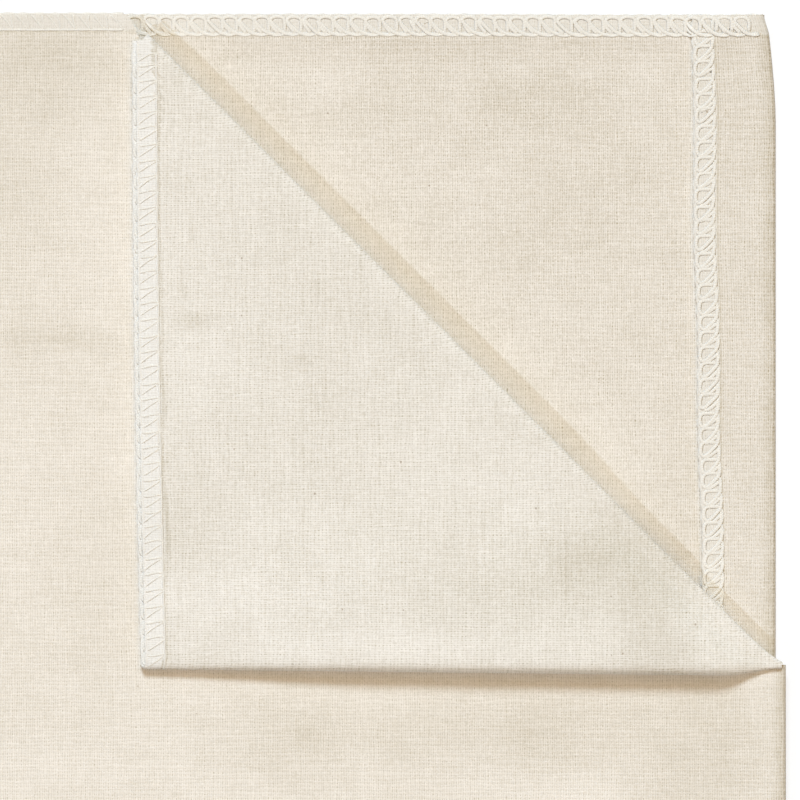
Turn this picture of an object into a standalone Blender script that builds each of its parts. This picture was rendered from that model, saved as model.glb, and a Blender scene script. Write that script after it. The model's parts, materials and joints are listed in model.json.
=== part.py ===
"""A baker's couche: a heavy unbleached cotton proofing cloth, put away folded in three like a
letter, with the upper two plies turned back at one corner.

The lower panel lies on the table. The cloth turns over it at the left fold and makes the middle
panel, then turns under at the right fold and makes the tucked panel, which lies between the two.
A side edge is turned over into a flat hem on the lower and on the tucked panel. All the cut edges
are bound with a three thread overlock stitch: a needle thread along the seam, and two looper
threads wrapped round the edge.

+X is the right side, +Y the overlocked end with the turned corner, +Z up. The origin is under the
middle of the folded cloth, on the table.
"""
import math

import bmesh
import bpy
from mathutils import Vector

mm = 0.001

# The folded cloth
fold_width = 200 * mm
cloth_length = 450 * mm
cloth_thickness = 0.7 * mm
ply_air = 0.5 * mm
touch_gap = 0.3 * mm

# Hems at the two free sides
hem_width = 18 * mm
lower_side_inset = 2.5 * mm
tucked_side_inset = 3 * mm
hem_step_length = 18 * mm
hem_step_start = 2 * mm
side_lean_length = 31 * mm
side_lean = 1.1 * mm
side_tip_length = 6 * mm
side_tip_lean = 1.6 * mm

# Overlock stitch
overlock_width = 5 * mm
needle_thread_width = 0.5 * mm
looper_relief = 0.1 * mm
overlock_step_length = 0.3 * mm
lower_top_set_back = 0.5 * mm

# Turned corner
corner_leg = 149.8 * mm
corner_edge_lean = 2.1 * mm
corner_edge_set_in = 1.1 * mm
corner_fold_rise = 1 * mm
corner_fold_lean = 0.5 * mm
corner_fold_reach = 1.3 * mm
corner_puff = 2.4 * mm
corner_puff_depth = 36 * mm
corner_tip_width = 2 * mm
crease_end_gap = 5 * mm
crease_point_gap = 2.1 * mm
corner_puff_crease_width = 14 * mm
puff_full_share = 0.4

# Counts, the angle that a round piece is shaded smooth below, and the most that a face may twist
roll_steps = 8
smooth_angle = math.radians(40)
flat_angle = math.radians(0.001)
corner_columns = 24
corner_rows = 22
corner_edge_rows = 8

# Order of the plies, from the table up
LOWER, HEM, TUCKED, MIDDLE, TURNED_LOWER, TURNED_UPPER = range(6)

# Places that follow from the sizes
ply_step = cloth_thickness + ply_air
half_thickness = cloth_thickness / 2
right_side = fold_width / 2
left_side = -right_side
top_end = cloth_length / 2
bottom_end = -top_end
looper_width = overlock_width - touch_gap - needle_thread_width
margin = overlock_width + touch_gap
diagonal = math.sqrt(0.5)


def ply_floor(ply):
    """Height of the underside of a ply."""
    return ply * ply_step


def ply_top(ply):
    """Height of the upper side of a ply."""
    return ply_floor(ply) + cloth_thickness


def ply_middle(ply):
    """Height of the middle of a ply."""
    return ply_floor(ply) + half_thickness


def fold_radius(lower, upper):
    """Radius, at the middle of the cloth, of a round fold that joins two plies."""
    return (ply_middle(upper) - ply_middle(lower)) / 2


def fold_centre_z(lower, upper):
    """Height of the line that a fold is bent round."""
    return (ply_middle(upper) + ply_middle(lower)) / 2


def mix(low, high, share):
    return low + (high - low) * share


def steps(count):
    """Shares from 0 to 1 in equal steps."""
    return [index / count for index in range(count + 1)]


def smooth(share):
    """0 below 0, 1 above 1, and an S between them."""
    share = min(max(share, 0), 1)
    return share * share * (3 - 2 * share)


# Lines that the plies end on
left_fold_radius = fold_radius(LOWER, MIDDLE)
left_fold_x = left_side + left_fold_radius + half_thickness
right_fold_radius = fold_radius(TUCKED, MIDDLE)
right_fold_x = right_side - right_fold_radius - half_thickness
hem_fold_radius = fold_radius(LOWER, HEM)
lower_hem_x = right_side - lower_side_inset - hem_fold_radius - half_thickness
tucked_hem_x = left_side + tucked_side_inset + hem_fold_radius + half_thickness
lower_strip_x = right_side - lower_side_inset - hem_width
tucked_strip_x = left_side + tucked_side_inset + hem_width

# The crease runs at 45 degrees, from the top end to the right side, so x + y is constant along it
inner_crease_radius = fold_radius(MIDDLE, TURNED_LOWER)
outer_crease_radius = fold_radius(TUCKED, TURNED_UPPER)
crease_z = fold_centre_z(MIDDLE, TURNED_LOWER)
crease_reach = outer_crease_radius + half_thickness
crease_sum = right_side + top_end - corner_leg - crease_reach / diagonal
ply_crease_sum = crease_sum - touch_gap / diagonal


def clear_scene():
    """Takes away whatever the scene holds."""
    for item in list(bpy.data.objects):
        bpy.data.objects.remove(item, do_unlink=True)


def finish_material(name, colour, roughness):
    """A plain woven or thread finish, one for each sub-part."""
    material = bpy.data.materials.new(name)
    material.use_nodes = True
    shader = material.node_tree.nodes["Principled BSDF"]
    shader.inputs["Base Color"].default_value = (*colour, 1)
    shader.inputs["Roughness"].default_value = roughness
    shader.inputs["Metallic"].default_value = 0
    return material


def cotton(name):
    """Unbleached cotton cloth."""
    return finish_material(name, (0.80, 0.74, 0.62), 0.9)


def thread(name):
    """Pale cotton sewing thread."""
    return finish_material(name, (0.85, 0.81, 0.72), 0.8)


def axis_empty(name, place):
    """An empty on the line that a moving piece turns about."""
    empty = bpy.data.objects.new(name, None)
    empty.location = place
    bpy.context.scene.collection.objects.link(empty)
    return empty


def add_node(name, points, faces, finish, parent=None, round_piece=False):
    """One sub-part: a closed mesh with its own material, on the empty that carries it.

    A face that twists is split, so that every face is flat.
    """
    form = bmesh.new()
    corners = [form.verts.new(point) for point in points]
    for face in faces:
        form.faces.new([corners[index] for index in face])
    bmesh.ops.connect_verts_nonplanar(form, angle_limit=flat_angle, faces=form.faces)
    bmesh.ops.recalc_face_normals(form, faces=form.faces)
    mesh = bpy.data.meshes.new(name)
    form.to_mesh(mesh)
    form.free()
    if round_piece:
        mesh.shade_smooth()
        mesh.set_sharp_from_angle(angle=smooth_angle)
    node = bpy.data.objects.new(name, mesh)
    node.data.materials.append(finish(name))
    bpy.context.scene.collection.objects.link(node)
    if parent:
        node.parent = parent
        node.location = -Vector(parent.location)
    return node


def ply(name, across, along, place, low, high, finish=cotton, parent=None):
    """A flat or gently shaped ply. place gives x and y at a pair of shares, low and high its sides."""
    points = []
    for side in (low, high):
        for v in along:
            for u in across:
                x, y = place(u, v)
                points.append((x, y, side(x, y)))
    wide, deep = len(across), len(along)
    layer = wide * deep
    faces = []
    for row in range(deep - 1):
        for column in range(wide - 1):
            first = row * wide + column
            quad = (first, first + 1, first + wide + 1, first + wide)
            faces.append(tuple(reversed(quad)))
            faces.append(tuple(index + layer for index in quad))
    rim = [column for column in range(wide)]
    rim += [row * wide + wide - 1 for row in range(1, deep)]
    rim += [(deep - 1) * wide + column for column in reversed(range(wide - 1))]
    rim += [row * wide for row in reversed(range(1, deep - 1))]
    for first, second in zip(rim, rim[1:] + rim[:1]):
        faces.append((first, second, second + layer, first + layer))
    return add_node(name, points, faces, finish, parent)


def fold(name, stations, outward, parent=None):
    """A rounded fold of the cloth. Each station is x, y, the middles of its two plies and its reach."""
    turns = [math.pi * (share - 0.5) for share in steps(roll_steps)]
    points = []
    for x, y, low, high, reach in stations:
        rise = (high - low) / 2
        for side in (half_thickness, -half_thickness):
            for turn in turns:
                out = (reach + side) * math.cos(turn)
                up = (low + high) / 2 + (rise + side) * math.sin(turn)
                points.append((x + outward[0] * out, y + outward[1] * out, up))
    ring = len(turns)
    span = 2 * ring
    faces = []
    for row in range(len(stations) - 1):
        start = row * span
        for step in range(ring - 1):
            outer = start + step
            inner = outer + ring
            faces.append((outer, outer + 1, outer + 1 + span, outer + span))
            faces.append((inner + 1, inner, inner + span, inner + 1 + span))
        for end in (0, ring - 1):
            outer = start + end
            inner = outer + ring
            faces.append((outer, inner, inner + span, outer + span))
    for start in (0, (len(stations) - 1) * span):
        for step in range(ring - 1):
            outer = start + step
            inner = outer + ring
            faces.append((outer, outer + 1, inner + 1, inner))
    return add_node(name, points, faces, cotton, parent, round_piece=True)


def level(height):
    """A side of a ply that is flat at one height."""
    return lambda x, y: height


def box_place(x_low, x_high, y_low, y_high):
    """Places over a rectangle."""
    return lambda u, v: (mix(x_low, x_high, u), mix(y_low, y_high, v))


def side_edge(y):
    """How far the lower panel's hemmed side leans in, near the top end."""
    lean_start = top_end - side_lean_length
    tip_start = top_end - side_tip_length
    lean = side_lean * max(y - lean_start, 0) / side_lean_length
    tip = side_tip_lean * max(y - tip_start, 0) / side_tip_length
    return lean + tip


def side_shares(y_low, y_high):
    """Shares along the hemmed side, with its two bends among them."""
    bends = (top_end - side_lean_length, top_end - side_tip_length)
    inside = [y for y in bends if y_low < y < y_high]
    return [(y - y_low) / (y_high - y_low) for y in (y_low, *inside, y_high)]


def side_place(x_low, x_high, y_low, y_high):
    """Places over a strip whose right side leans in with the hemmed side."""
    def place(u, v):
        y = mix(y_low, y_high, v)
        return mix(x_low, x_high - side_edge(y), u), y
    return place


def edge_binding(name, x_low, x_high, cut_edge, inward, low, high, parent=None):
    """The overlock along a top or bottom end: the wrapped edge, and the needle thread beside it.

    high is a list of x and height pairs, so the binding steps up where it also takes in a hem.
    """
    stops = [x for x, height in high if x < x_high] + [x_high]
    across = [(x - x_low) / (x_high - x_low) for x in stops]

    def upper(x, y):
        for (x_from, z_from), (x_to, z_to) in zip(high, high[1:]):
            if x <= x_to:
                return mix(z_from, z_to, (x - x_from) / (x_to - x_from))
        return high[-1][1]

    inner = cut_edge + inward * looper_width
    needle = inner + inward * touch_gap
    needle_end = needle + inward * needle_thread_width
    looper_place = box_place(x_low, x_high, cut_edge, inner)
    needle_place = box_place(x_low, x_high, needle, needle_end)
    ply(name + "_overlock", across, [0, 1], looper_place, level(low), upper, thread, parent)
    ply(name + "_needle_thread", across, [0, 1], needle_place, level(low), upper, thread, parent)


def side_binding(name, cut_edge, inward, ply_number, parent=None):
    """The overlock along a hem's cut edge, between the two ends' bindings."""
    low = level(ply_floor(ply_number) - looper_relief)
    high = level(ply_top(ply_number) + looper_relief)
    ends = (bottom_end + margin, top_end - margin - lower_top_set_back)
    inner = cut_edge + inward * looper_width
    needle = inner + inward * touch_gap
    needle_end = needle + inward * needle_thread_width
    ply(name + "_overlock", [0, 1], [0, 1], box_place(cut_edge, inner, *ends), low, high,
        thread, parent)
    ply(name + "_needle_thread", [0, 1], [0, 1], box_place(needle, needle_end, *ends), low, high,
        thread, parent)


def lower_panel():
    """The panel that lies on the table, with its hemmed side at the right."""
    y_low, y_high = bottom_end + margin, top_end - margin - lower_top_set_back
    place = side_place(left_fold_x + touch_gap, lower_hem_x - touch_gap, y_low, y_high)
    ply("lower_panel", [0, 1], side_shares(y_low, y_high), place,
        level(ply_floor(LOWER)), level(ply_top(LOWER)))


def lower_bindings():
    """The lower panel's two overlocked ends, which also take in the hem."""
    single = ply_top(LOWER) + looper_relief
    double = ply_top(HEM) + looper_relief
    x_low = left_fold_x + touch_gap
    x_high = lower_hem_x - side_lean - side_tip_lean
    step_end = lower_strip_x
    high = [(x_low, single), (step_end - overlock_step_length, single),
            (step_end, double), (x_high, double)]
    cut_edge = top_end - lower_top_set_back
    edge_binding("lower_top", x_low, x_high, cut_edge, -1, ply_floor(LOWER), high)
    edge_binding("lower_bottom", x_low, x_high, bottom_end, 1, ply_floor(LOWER), high)


def side_hem():
    """The lower panel's side edge, turned over onto it and overlocked along its cut edge."""
    y_low, y_high = bottom_end + margin, top_end - margin - lower_top_set_back
    low, high = ply_middle(LOWER), ply_middle(HEM)
    ends = [bottom_end, top_end - side_lean_length, top_end - side_tip_length,
            top_end - lower_top_set_back]
    stations = [(lower_hem_x - side_edge(y), y, low, high, hem_fold_radius) for y in ends]
    fold("side_hem_fold", stations, (1, 0))
    strip_start = lower_strip_x + margin
    place = side_place(strip_start, lower_hem_x - touch_gap, y_low, y_high)
    ply("side_hem", [0, 1], side_shares(y_low, y_high), place,
        level(ply_floor(HEM)), level(ply_top(HEM)))
    side_binding("side_hem", lower_strip_x, 1, HEM)


def left_fold():
    """The fold that joins the lower panel to the middle panel. It opens with the cover."""
    low, high = ply_middle(LOWER), ply_middle(MIDDLE)
    ends = (bottom_end, top_end)
    stations = [(left_fold_x, y, low, high, left_fold_radius) for y in ends]
    fold("left_fold", stations, (-1, 0))


def crease_top(x):
    """The upper end of a ply that stops at the crease, at one x."""
    return min(top_end - margin, ply_crease_sum - x)


def creased_place(x_low, x_high):
    """Places over a panel whose top right corner is cut off along the crease."""
    def place(u, v):
        x = mix(x_low, x_high, u)
        return x, mix(bottom_end + margin, crease_top(x), v)
    return place


def creased_shares(x_low, x_high, *places):
    """Shares across such a panel, with the start of the crease and other places among them."""
    crease_start = ply_crease_sum - (top_end - margin)
    stops = sorted((x_low, crease_start, *places, x_high))
    return [(x - x_low) / (x_high - x_low) for x in stops]


def middle_panel(cover):
    """The panel that shows on top, up to the crease of the turned corner."""
    x_low, x_high = left_fold_x + touch_gap, right_fold_x - touch_gap
    across = creased_shares(x_low, x_high)
    ply("middle_panel", across, [0, 1], creased_place(x_low, x_high),
        level(ply_floor(MIDDLE)), level(ply_top(MIDDLE)), parent=cover)


def middle_bindings(cover):
    """The middle panel's overlocked ends. The rest of its top end is on the turned corner."""
    low = ply_floor(MIDDLE) - looper_relief
    high = ply_top(MIDDLE) + looper_relief
    x_low = left_fold_x + touch_gap
    crease_x = ply_crease_sum - top_end
    bottom_x = right_fold_x - touch_gap
    edge_binding("middle_top", x_low, crease_x, top_end, -1, low,
                 [(x_low, high), (crease_x, high)], cover)
    edge_binding("middle_bottom", x_low, bottom_x, bottom_end, 1, low,
                 [(x_low, high), (bottom_x, high)], cover)


def right_fold(cover):
    """The fold that joins the middle panel to the tucked panel, up to the crease."""
    low, high = ply_middle(TUCKED), ply_middle(MIDDLE)
    ends = (bottom_end, ply_crease_sum - right_side)
    stations = [(right_fold_x, y, low, high, right_fold_radius) for y in ends]
    fold("right_fold", stations, (1, 0), cover)


def tucked_drop(x, y):
    """How far the tucked panel comes down beside the lower panel's hem."""
    start = lower_strip_x - hem_step_start
    return ply_step * smooth((start - x) / hem_step_length)


def tucked_panel(cover):
    """The panel under the middle one. It lies on the lower panel, and on its hem at the right."""
    x_low, x_high = tucked_hem_x + touch_gap, right_fold_x - touch_gap
    step_start = lower_strip_x - hem_step_start
    bends = [step_start - hem_step_length * share for share in steps(4)]
    across = creased_shares(x_low, x_high, *bends)
    ply("tucked_panel", across, [0, 1], creased_place(x_low, x_high),
        lambda x, y: ply_floor(TUCKED) - tucked_drop(x, y),
        lambda x, y: ply_top(TUCKED) - tucked_drop(x, y), parent=cover)


def tucked_bindings(cover):
    """The tucked panel's overlocked ends, which also take in its hem at the left."""
    low = ply_floor(HEM) - looper_relief
    single = ply_top(HEM) + looper_relief
    double = ply_top(TUCKED) + looper_relief
    x_low = tucked_hem_x + touch_gap
    step = tucked_strip_x + overlock_step_length
    crease_x = ply_crease_sum - top_end
    edge_binding("tucked_top", x_low, crease_x, top_end, -1, low,
                 [(x_low, double), (tucked_strip_x, double), (step, single), (crease_x, single)],
                 cover)
    raised_start = lower_strip_x - hem_step_start - hem_step_length
    edge_binding("tucked_bottom", x_low, raised_start, bottom_end, 1, low,
                 [(x_low, double), (tucked_strip_x, double), (step, single),
                  (raised_start, single)], cover)


def tucked_hem(cover):
    """The tucked panel's side edge, turned over onto it, beside the left fold."""
    low, high = ply_middle(HEM), ply_middle(TUCKED)
    stations = [(tucked_hem_x, y, low, high, hem_fold_radius) for y in (bottom_end, top_end)]
    fold("tucked_hem_fold", stations, (-1, 0), cover)
    ends = (bottom_end + margin, top_end - margin)
    place = box_place(tucked_hem_x + touch_gap, tucked_strip_x - margin, *ends)
    ply("tucked_hem", [0, 1], [0, 1], place,
        level(ply_floor(TUCKED)), level(ply_top(TUCKED)), parent=cover)
    side_binding("tucked_hem", tucked_strip_x, -1, TUCKED, cover)


def creases(cover):
    """The two plies' rolls along the diagonal crease, one inside the other."""
    y_start = top_end - crease_end_gap
    x_end = right_side - crease_point_gap
    ends = [(crease_sum - y_start, y_start), (x_end, crease_sum - x_end)]
    for name, lower, upper, radius in (
            ("crease_inner", MIDDLE, TURNED_LOWER, inner_crease_radius),
            ("crease_outer", TUCKED, TURNED_UPPER, outer_crease_radius)):
        stations = [(x, y, ply_middle(lower), ply_middle(upper), radius) for x, y in ends]
        fold(name, stations, (diagonal, diagonal), cover)


# The turned corner's outline: its overlocked left edge, and its folded lower edge
corner_edge_x = right_side - corner_leg + corner_edge_set_in
corner_fold_start_x = corner_edge_x + corner_edge_lean
corner_fold_y = top_end - corner_leg + corner_fold_rise
corner_fold_slope = -corner_fold_lean / corner_leg
corner_roll_depth = corner_fold_reach + half_thickness


def corner_edge(y):
    """x of the turned corner's overlocked edge, which leans in towards the fold."""
    share = (top_end - y) / corner_leg
    return corner_edge_x + corner_edge_lean * share * share


def corner_fold_centre(x):
    """y of the line that the turned corner's lower fold is bent round."""
    return corner_fold_y + corner_roll_depth + corner_fold_slope * (x - corner_fold_start_x)


def corner_fold_end():
    """x where the lower fold's centre meets the crease."""
    rise = corner_fold_centre(0)
    return (ply_crease_sum - rise) / (1 + corner_fold_slope)


def puff(x, y):
    """How far the upper ply stands up beside the soft fold. At the crease it is pressed flat."""
    start, end = corner_fold_start_x, corner_fold_end()
    along = smooth((x - start) / (end - start) / puff_full_share)
    depth = (y - corner_fold_centre(x)) / corner_puff_depth
    crease_distance = (ply_crease_sum - x - y) * diagonal
    return corner_puff * along * smooth(1 - depth) * smooth(crease_distance / corner_puff_crease_width)


def corner_place(inset):
    """Places over the turned corner: shares across from the overlocked edge, and up from the fold."""
    y_top = ply_crease_sum - (corner_edge_x + inset) - corner_tip_width
    left_start = corner_fold_centre(corner_fold_start_x + inset) + touch_gap
    x_end = corner_fold_end() - touch_gap
    right_start = ply_crease_sum - x_end

    def place(u, v):
        y_left = mix(left_start, y_top, v)
        y_right = mix(right_start, y_top, v)
        x = mix(corner_edge(y_left) + inset, ply_crease_sum - y_right, u)
        return x, mix(y_left, y_right, u)
    return place


def corner_strip_place(x_from, x_to):
    """Places over a strip along the overlocked edge, between the fold and the crease."""
    def place(u, v):
        offset = mix(x_from, x_to, u)
        y_low = corner_fold_centre(corner_fold_start_x + offset) + touch_gap
        y_high = ply_crease_sum - corner_edge_x - offset - corner_tip_width
        y = mix(y_low, y_high, v)
        return corner_edge(y) + offset, y
    return place


def corner_ply(name, number, corner, raised):
    """One ply of the turned corner, with the overlock along its edge."""
    rows = steps(corner_edge_rows)
    low = ply_floor(number)
    high = ply_top(number)
    across = steps(corner_columns) if raised else [0, 1]
    along = steps(corner_rows) if raised else rows
    lift = puff if raised else level(0)
    ply(f"corner_{name}_ply", across, along, corner_place(margin),
        lambda x, y: low + lift(x, y), lambda x, y: high + lift(x, y), parent=corner)
    under, over = level(low - looper_relief), level(high + looper_relief)
    needle = looper_width + touch_gap
    ply(f"corner_{name}_overlock", [0, 1], rows, corner_strip_place(0, looper_width),
        under, over, thread, corner)
    ply(f"corner_{name}_needle_thread", [0, 1], rows,
        corner_strip_place(needle, needle + needle_thread_width), under, over, thread, corner)


def corner_fold(corner):
    """The soft fold along the turned corner's lower edge, which was the right side's fold."""
    stations = []
    for share in steps(corner_columns):
        x = mix(corner_fold_start_x, corner_fold_end() - touch_gap, share)
        y = corner_fold_centre(x)
        high = ply_middle(TURNED_UPPER) + puff(x, y)
        stations.append((x, y, ply_middle(TURNED_LOWER), high, corner_fold_reach))
    fold("corner_fold", stations, (0, -1), corner)


def main():
    clear_scene()
    cover = axis_empty("cover_axis", (left_fold_x, 0, fold_centre_z(LOWER, MIDDLE)))
    crease_middle = right_side - corner_leg / 2
    corner = axis_empty("corner_axis", (crease_middle, crease_sum - crease_middle, crease_z))
    lower_panel()
    lower_bindings()
    side_hem()
    left_fold()
    middle_panel(cover)
    middle_bindings(cover)
    right_fold(cover)
    tucked_panel(cover)
    tucked_bindings(cover)
    tucked_hem(cover)
    creases(cover)
    corner_ply("lower", TURNED_LOWER, corner, False)
    corner_ply("upper", TURNED_UPPER, corner, True)
    corner_fold(corner)
    print("cover axis", tuple(cover.location))
    print("corner axis", tuple(corner.location))


main()
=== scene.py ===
# %% [markdown]
# # A baker's couche, folded in three
#
# A couche is one heavy cotton cloth that holds loaves while they prove. This one is put away
# folded like a letter, and one corner of its upper two plies is turned back. Its cut edges are
# bound with an overlock stitch, and its two side edges are turned over into flat hems.
#
# The solids of the part are already made and packed. Here they are the frame: they say where
# each ply, fold and edge lies, and the cloth and the threads are built round them.

# %% Load the frame
import json
import math

import bpy
import numpy as np
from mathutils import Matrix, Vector


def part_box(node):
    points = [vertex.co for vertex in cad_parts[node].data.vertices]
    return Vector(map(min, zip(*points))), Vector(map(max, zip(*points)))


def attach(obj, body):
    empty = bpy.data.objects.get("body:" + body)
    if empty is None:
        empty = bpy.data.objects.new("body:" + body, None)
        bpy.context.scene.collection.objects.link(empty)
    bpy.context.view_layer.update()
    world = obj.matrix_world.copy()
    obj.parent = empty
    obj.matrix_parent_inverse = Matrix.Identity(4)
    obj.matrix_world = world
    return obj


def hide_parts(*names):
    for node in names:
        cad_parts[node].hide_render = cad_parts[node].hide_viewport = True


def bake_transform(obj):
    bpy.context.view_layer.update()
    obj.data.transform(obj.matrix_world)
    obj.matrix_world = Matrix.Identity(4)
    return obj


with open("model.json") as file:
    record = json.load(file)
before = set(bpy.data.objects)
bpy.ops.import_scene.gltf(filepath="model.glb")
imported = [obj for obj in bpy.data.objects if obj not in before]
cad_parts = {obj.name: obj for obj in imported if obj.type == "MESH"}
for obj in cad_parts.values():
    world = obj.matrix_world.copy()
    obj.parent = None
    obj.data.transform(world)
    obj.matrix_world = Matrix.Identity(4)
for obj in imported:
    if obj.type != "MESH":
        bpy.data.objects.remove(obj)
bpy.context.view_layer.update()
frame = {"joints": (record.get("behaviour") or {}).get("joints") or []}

# %% [markdown]
# ## Sizes from the frame
#
# The thickness of the cloth, the height of every ply and the lines that it is folded along are read
# off the solids, so the looks follow when the solids change. The two joints give the lines that the
# cloth turns about: the left fold and the turned corner's crease.

# %% Read the plies and the folds
mm = 0.001
full_turn = 2 * math.pi


def low(node):
    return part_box(node)[0]


def high(node):
    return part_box(node)[1]


joints = {joint["name"]: joint for joint in frame["joints"]}
left_line = Vector(joints["cover_fold"]["pos_m"])
crease_line = Vector(joints["corner_crease"]["pos_m"])
crease_sum = crease_line.x + crease_line.y
thickness = high("middle_panel").z - low("middle_panel").z
half = thickness / 2

z_lower = low("lower_panel").z + half
z_hem = low("side_hem").z + half
z_tucked_low = low("tucked_panel").z + half
z_tucked = high("tucked_panel").z - half
z_tucked_hem = low("tucked_hem").z + half
z_middle = low("middle_panel").z + half
z_turned_lower = low("corner_lower_ply").z + half
z_turned_upper = low("corner_upper_ply").z + half
ply_step = z_hem - z_lower

top_end = high("left_fold").y
bottom_end = low("left_fold").y
left_x = left_line.x
right_x = low("right_fold").x
fold_round = (z_middle - z_lower) / 2
right_round = (z_middle - z_tucked) / 2
hem_round = ply_step / 2
lower_hem_x = high("side_hem_fold").x - hem_round - half
tucked_hem_x = high("tucked_hem_fold").x
lower_cut_x = low("side_hem_overlock").x
tucked_cut_x = high("tucked_hem_overlock").x
print("cloth", round(thickness / mm, 2), "mm thick, crease at x + y =", round(crease_sum / mm, 1), "mm")

# %% [markdown]
# ## Where the edges of the cloth run
#
# A sewn cloth is never quite square. The hemmed side leans in near its top end, and its strip
# wanders, because a hem is turned by eye. The turned corner's overlocked edge leans in towards its
# fold. That fold is soft and puffs up, but the crease's right part and the tip were pressed hard, so
# the plies lie closer and thinner there. The solids have the same lines to a millimetre or two, and
# here they are given once more as they are in the photograph.

# %% Edges that lean
side_lean_length, side_lean, side_lean_power = 24 * mm, 2.1 * mm, 1.5
side_tip_length, side_tip_lean = 4.5 * mm, 0.85 * mm
side_out = 0.25 * mm
stitch_width = 5 * mm
edge_line, needle_place = 0.55 * mm, 4.7 * mm
corner_leg = 149.8 * mm
corner_edge_x = low("corner_upper_overlock").x
corner_edge_lean = 2.1 * mm
corner_fold_reach = 2.2 * mm
corner_fold_rise, corner_fold_lean = 0.7 * mm, 0.25 * mm
corner_puff = 2.4 * mm
fold_square, crease_square = 0.85, 0.5
puff_depth = 42 * mm
puff_crease_width = 8 * mm
puff_full_share = 0.4
diagonal = math.sqrt(0.5)
corner_fold_x = corner_edge_x + corner_edge_lean
corner_fold_y = top_end - corner_leg + corner_fold_rise + corner_fold_reach + half
cut_inset = 0.25 * mm
tip_width = 2 * mm
tip_start, tip_x = 87 * mm, 99 * mm
tip_rise, tip_rise_power, tip_flatness = 3.7 * mm, 1.7, 0.75
tip_thin, tip_gap = 0.4, 0.05 * mm
squeeze_start, squeeze_run, squeeze_width = 45 * mm, 22 * mm, 9 * mm
under_gap = 0.2 * mm
hem_hold, hem_hold_run = 0.3, 6 * mm
sewn_width, sewn_run, sewn_reach = 5 * mm, 4 * mm, 10 * mm
hem_wander_start, hem_wander_length, hem_wander = 215 * mm, 150 * mm, 1.1 * mm
hem_ripple_length, hem_ripple = 47 * mm, 0.22 * mm
hem_set_in, end_set_in = 0.4 * mm, 0.1 * mm
end_dip_start, end_dip_length, end_dip = 10 * mm, 55 * mm, 0.15 * mm
end_rise_width = 14 * mm


def smooth(share):
    """0 below 0, 1 above 1, and an S between them."""
    share = np.clip(share, 0, 1)
    return share * share * (3 - 2 * share)


def mix(start, end, share):
    return start + (end - start) * share


def stacked(*parts):
    """Points from an array of each coordinate."""
    return np.stack(parts, axis=-1)


def chained(*parts):
    """Arrays one after the other."""
    return np.concatenate(parts)


def side_inset(y):
    """How far the lower panel's hemmed side leans in at a place along it."""
    share = np.maximum(y - top_end + side_lean_length, 0) / side_lean_length
    tip = side_tip_lean * np.maximum(y - top_end + side_tip_length, 0) / side_tip_length
    return side_lean * share ** side_lean_power + tip - side_out


def hem_cut(y):
    """x of the hem strip's cut edge, which wanders a little as it was sewn by eye."""
    turn = math.pi * (hem_wander_start - y) / hem_wander_length
    ripple = hem_ripple * np.sin(full_turn * y / hem_ripple_length)
    return lower_cut_x + hem_set_in - hem_wander * np.cos(turn) + ripple


def lower_end(x):
    """y of the lower panel's top edge, which dips a little beside the hem."""
    away = smooth((high("side_hem_fold").x - x) / end_rise_width)
    return top_end - end_set_in - end_dip * smooth((x - end_dip_start) / end_dip_length) * away


def corner_edge(y):
    """x of the turned corner's overlocked edge."""
    share = (top_end - y) / corner_leg
    return corner_edge_x + corner_edge_lean * share * share


def corner_fold_line(x):
    """y of the line that the turned corner's lower fold is bent round."""
    return corner_fold_y - corner_fold_lean * (x - corner_fold_x) / corner_leg


def to_tip(x):
    """0 along the crease, and rising to 1 at its right end, where the four plies meet in a point."""
    return smooth((x - tip_start) / (tip_x - tip_start))


def crease_y(x):
    """y of the line that the crease's rolls stand on. It flattens towards the tip."""
    share = np.clip((x - tip_start) / (tip_x - tip_start), 0, 1)
    return crease_sum + tip_rise * share ** tip_rise_power - x


def squeezed(x, y):
    """1 beside the right part of the crease, where the turned plies were pressed hard, and 0 elsewhere.
    It is less over the hem strip, which holds them up."""
    foot = (crease_sum + x - y) / 2
    away = np.abs(crease_sum - x - y) * diagonal
    held_up = hem_hold * smooth((foot - lower_cut_x) / hem_hold_run + 0.5)
    return smooth((foot - squeeze_start) / squeeze_run) * smooth(1 - away / squeeze_width) * (1 - held_up)


def closed(x, y):
    """How far the turned plies are pressed together, from 0 to 1, beside the crease and in the tip."""
    return 1 - (1 - squeezed(x, y)) * (1 - to_tip(x))


def hem_step(x, y):
    """How far the hem strip lies above the lower panel, which is less where an end row holds both."""
    at_end = smooth((sewn_width + sewn_run - (top_end - np.abs(y))) / sewn_run)
    at_cut = smooth(1 - (x - hem_cut(y)) / sewn_reach)
    return ply_step - (ply_step - thickness - tip_gap) * at_end * at_cut


def thinned(x, y):
    """How thick the turned corner's cloth is, as a share. It is thinner where it is pressed."""
    return 1 - tip_thin * closed(x, y)


def boxed(turn, square):
    """Sine and cosine of a turn, pushed out towards a box: a soft fold that was pressed from above."""
    sine, cosine = np.sin(turn), np.cos(turn)
    return np.abs(sine) ** square, np.sign(cosine) * np.abs(cosine) ** square


def length_shares(turn, square):
    """How much of a soft fold's length lies before each step of its turn."""
    sine, cosine = boxed(turn, square)
    steps = np.hypot(np.diff(sine), np.diff(cosine))
    return chained([0], np.cumsum(steps)) / steps.sum()


def puff(x, y):
    """How far the turned corner's upper ply stands up beside its soft fold."""
    fold_end = (crease_sum - corner_fold_line(0)) / (1 - corner_fold_lean / corner_leg)
    along = smooth((x - corner_fold_x) / (fold_end - corner_fold_x) / puff_full_share)
    away = (y - corner_fold_line(x)) / puff_depth
    pressed = smooth((crease_sum - x - y) * diagonal / puff_crease_width)
    return corner_puff * along * smooth(1 - away) * pressed


print("turned corner from x", round(corner_edge_x / mm, 1), "to y", round(corner_fold_y / mm, 1), "mm")

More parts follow.
